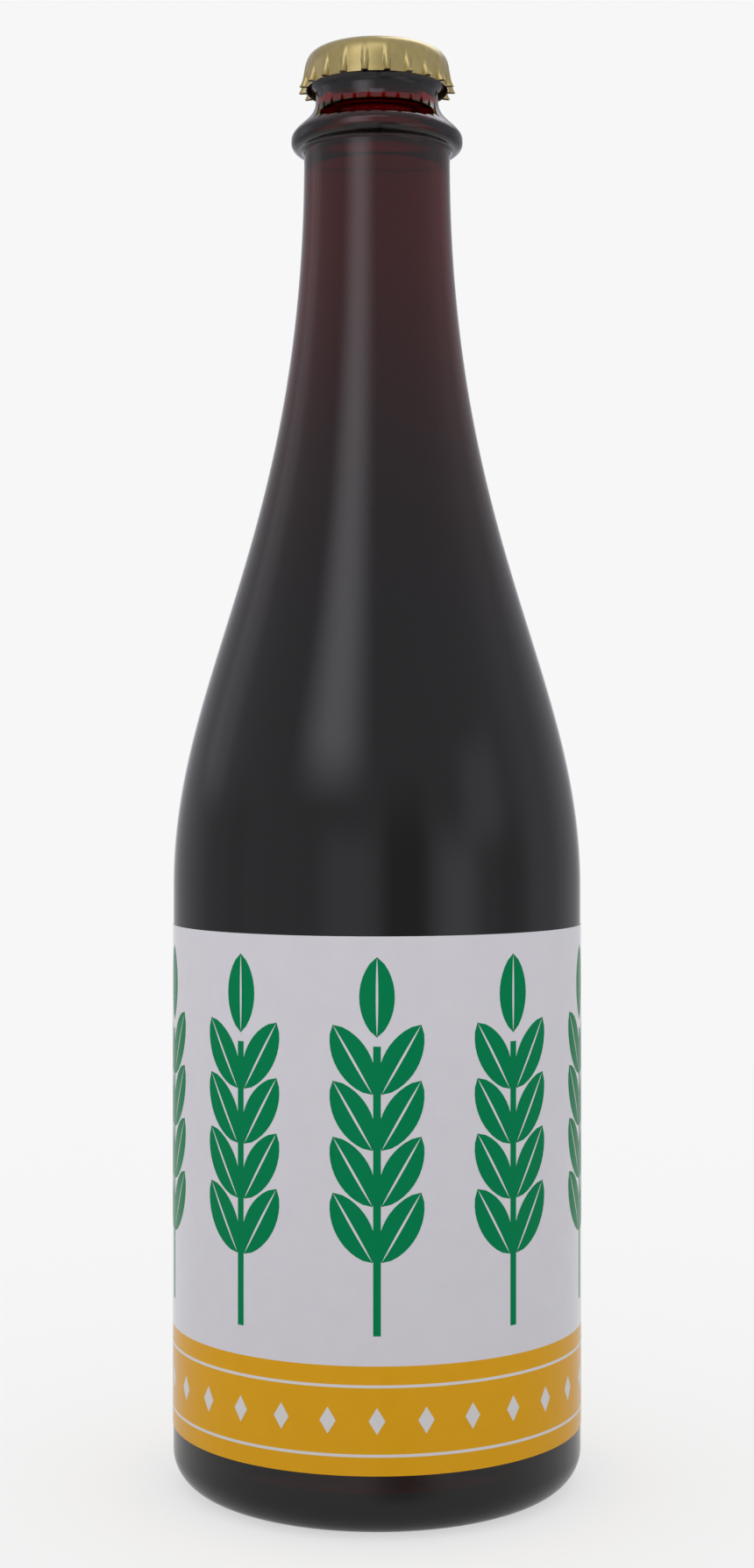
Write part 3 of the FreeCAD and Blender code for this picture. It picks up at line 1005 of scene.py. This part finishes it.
def see_through(name, ior, wet_ior, tint, density, wave_scale, wave_height):
    """A clear surface over an absorbing volume, with slight waves, handling marks and painted shade high up.
    """
    material = bpy.data.materials.new(name)
    tree, surface, place, output = shader(material, IOR=ior, Transmission_Weight=1.0)
    wetted = add(tree, "ShaderNodeAttribute", attribute_name="wetted").outputs["Fac"]
    tree.links.new(spread(tree, wetted, ior, wet_ior, 0.0, 1.0), surface.inputs["IOR"])
    dry = calc(tree, "SUBTRACT", 1.0, wetted)
    marks = spread(tree, noise(tree, place, *MARKS), *MARK_ROUGHNESS)
    tree.links.new(times(tree, marks, dry), surface.inputs["Roughness"])
    height = add(tree, "ShaderNodeSeparateXYZ", {0: place}).outputs["Z"]
    # Painted shade: above the drink the glass's colour darkens, so less light shows through the empty neck.
    neck_shade = spread(tree, height, 0.0, 1.0, NECK_SHADE_FROM * MM, NECK_SHADE_FULL * MM)
    cloud = spread(tree, noise(tree, place, CLOUD_SCALE), 0.0, CLOUD_SHARE)
    tone = two_tones(tree, calc(tree, "MAXIMUM", neck_shade, cloud), (1.0, 1.0, 1.0), CLOUD_AND_NECK_SHADE_TONE)
    deep = times(tree, band(tree, height, DEEP_BAND), dry)
    tone = two_tones(tree, deep, tone, DEEP_TONE)
    # Painted shade: a dark line on the wetted glass at the drink's level, joined with the painted shade under
    # the ring.
    level_shade_band = (LEVEL - LEVEL_SHADE_WIDTH, LEVEL, CONTACT, CONTACT + LEVEL_SHADE_WIDTH)
    line = times(tree, band(tree, height, level_shade_band), wetted)
    dark = calc(tree, "MAXIMUM", band(tree, height, LEDGE_SHADE), line)
    tree.links.new(two_tones(tree, dark, tone, LEDGE_TONE), surface.inputs["Base Color"])
    waves = times(tree, noise(tree, place, wave_scale, 1.0), dry)
    bump(tree, surface, waves, WAVE_STRENGTH, wave_height)
    depth = add(tree, "ShaderNodeVolumeAbsorption", {"Color": (*tint, 1), "Density": density})
    tree.links.new(depth.outputs[0], output.inputs["Volume"])
    return material


bottle.data.materials.append(see_through(
    "dark_glass", GLASS_IOR, GLASS_IOR / DRINK_IOR, GLASS_TINT, GLASS_DENSITY, *GLASS_WAVES))
drink.data.materials.append(see_through(
    "dark_drink", DRINK_IOR, NO_BEND_IOR, DRINK_TINT, DRINK_DENSITY, *DRINK_WAVES))
print("glass and drink finished")

# %% [markdown]
# ### Paper and inks
# Coated label paper is nearly flat in colour, with a faint cloudiness from its fibres, a low satin
# gloss and a sheen that brightens it where it turns away. The inks lie on it as thin films that are
# a little smoother than the bare paper and have less sheen.

# %% Paper and inks
PAPER_IOR = 1.48
SHEEN_ROUGHNESS = 0.3
CLOUDS = (220.0, 5.0, 0.65)
FIBRES = (2600.0, 3.0, 0.6)
FIBRE_STRETCH = (1.0, 1.0, 0.35)
FIBRE_GLOSS = (-0.05, 0.07)
FIBRE_HEIGHT = 0.02


def printed(material, tone, shade_tone, roughness, grain, gloss, sheen):
    """A satin paper or ink: cloudy tone, fine fibre relief and a slightly uneven gloss."""
    tree, surface, place, _ = shader(
        material, IOR=PAPER_IOR, Specular_IOR_Level=gloss,
        Sheen_Weight=sheen, Sheen_Roughness=SHEEN_ROUGHNESS)
    clouds = spread(tree, noise(tree, place, *CLOUDS), 0.0, 1.0)
    tree.links.new(two_tones(tree, clouds, shade_tone, tone), surface.inputs["Base Color"])
    fibres = add(tree, "ShaderNodeMapping", {"Vector": place, "Scale": FIBRE_STRETCH}).outputs[0]
    fine = noise(tree, fibres, *FIBRES)
    uneven = spread(tree, fine, *(roughness + step for step in FIBRE_GLOSS))
    tree.links.new(uneven, surface.inputs["Roughness"])
    bump(tree, surface, fine, grain, FIBRE_HEIGHT * MM)


paper = bpy.data.materials.new("pale_paper")
ochre = bpy.data.materials.new("ochre_ink")
printed(paper, (0.605, 0.592, 0.634), (0.585, 0.572, 0.614),
        roughness=0.15, grain=0.25, gloss=0.12, sheen=0.65)
printed(ochre, (0.645, 0.322, 0.009), (0.625, 0.308, 0.008),
        roughness=0.13, grain=0.18, gloss=0.12, sheen=0.2)
printed(green_ink, (0.0012, 0.185, 0.067), (0.001, 0.180, 0.0652),
        roughness=0.13, grain=0.15, gloss=0.04, sheen=0.1)
printed(pale_ink, (0.62, 0.60, 0.60), (0.60, 0.58, 0.58),
        roughness=0.14, grain=0.2, gloss=0.12, sheen=0.45)
label.data.materials.append(paper)
label.data.materials.append(ochre)
print("label finished")

# %% [markdown]
# ### Gold lacquer, tin and liner
# The crown is tinplate under a satin gold lacquer. The lacquer is mottled on a fine scale and a
# little rougher in patches, which breaks its reflections into the soft grain that printed metal
# has. The inside is the bare, duller side of the sheet. The liner is a soft compound, and its
# near-black tone is partly its own dark grey and partly painted shade for the dark inside of the crown.

# %% Metal and liner
COAT_ROUGHNESS = 0.2
MOTTLE = (900.0, 4.0, 0.6)
PATCHES = (160.0, 3.0)
PATCH_GLOSS = (-0.05, 0.06)
METAL_GRAIN = (5600.0, 2.0)
GRAIN_HEIGHT = 0.022


def satin_metal(material, tone, deep_tone, roughness, grain, coat):
    """Lacquered sheet: mottled metal colour, uneven satin gloss and a fine grain."""
    tree, surface, place, _ = shader(
        material, Metallic=1.0, Coat_Weight=coat, Coat_Roughness=COAT_ROUGHNESS)
    mottle = spread(tree, noise(tree, place, *MOTTLE), 0.0, 1.0)
    tree.links.new(two_tones(tree, mottle, deep_tone, tone), surface.inputs["Base Color"])
    patches = noise(tree, place, *PATCHES)
    uneven = spread(tree, patches, *(roughness + step for step in PATCH_GLOSS))
    tree.links.new(uneven, surface.inputs["Roughness"])
    bump(tree, surface, noise(tree, place, *METAL_GRAIN), grain, GRAIN_HEIGHT * MM)


satin_metal(gold, (0.515, 0.418, 0.162), (0.45, 0.362, 0.132), roughness=0.33, grain=0.6, coat=0.7)
satin_metal(tin, (0.42, 0.32, 0.23), (0.34, 0.26, 0.18), roughness=0.42, grain=0.3, coat=0.0)

LINER_IOR = 1.46
# Near-black tones: partly the compound's own dark grey, partly painted shade for the dark inside of the
# crown.
LINER_TONES = ((0.045, 0.045, 0.05), (0.07, 0.07, 0.075))
LINER_SPECKS = (700.0, 4.0)
LINER_GLOSS = (0.5, 0.62)
LINER_GRAIN = (3000.0, 2.0)
LINER_RELIEF = (0.3, 0.03 * MM)
compound = bpy.data.materials.new("liner_compound")
tree, surface, place, _ = shader(compound, IOR=LINER_IOR)
specks = noise(tree, place, *LINER_SPECKS)
colour = two_tones(tree, spread(tree, specks, 0.0, 1.0), *LINER_TONES)
tree.links.new(colour, surface.inputs["Base Color"])
tree.links.new(spread(tree, specks, *LINER_GLOSS), surface.inputs["Roughness"])
bump(tree, surface, noise(tree, place, *LINER_GRAIN), *LINER_RELIEF)
liner.data.materials.append(compound)
print("crown finished")

# %% [markdown]
# ## Hand the pieces to the frame
# Each piece rides on the body that it belongs to and stands for the solid that it replaces. The
# print rides with the label.

# %% Ride, replace and finish
for piece, body, node, slot in (
        (bottle, "bottle", "glass_bottle", "dark_glass"),
        (drink, "bottle", "drink", "dark_drink"),
        (label, "bottle", "wrap_label", "label_paper"),
        (crown, "crown", "crown_shell", "gold_lacquer"),
        (liner, "crown", "crown_liner", "liner_compound")):
    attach(piece, body)
    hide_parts(node)
for piece in [ears, lozenges] + hairlines:
    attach(piece, "bottle")
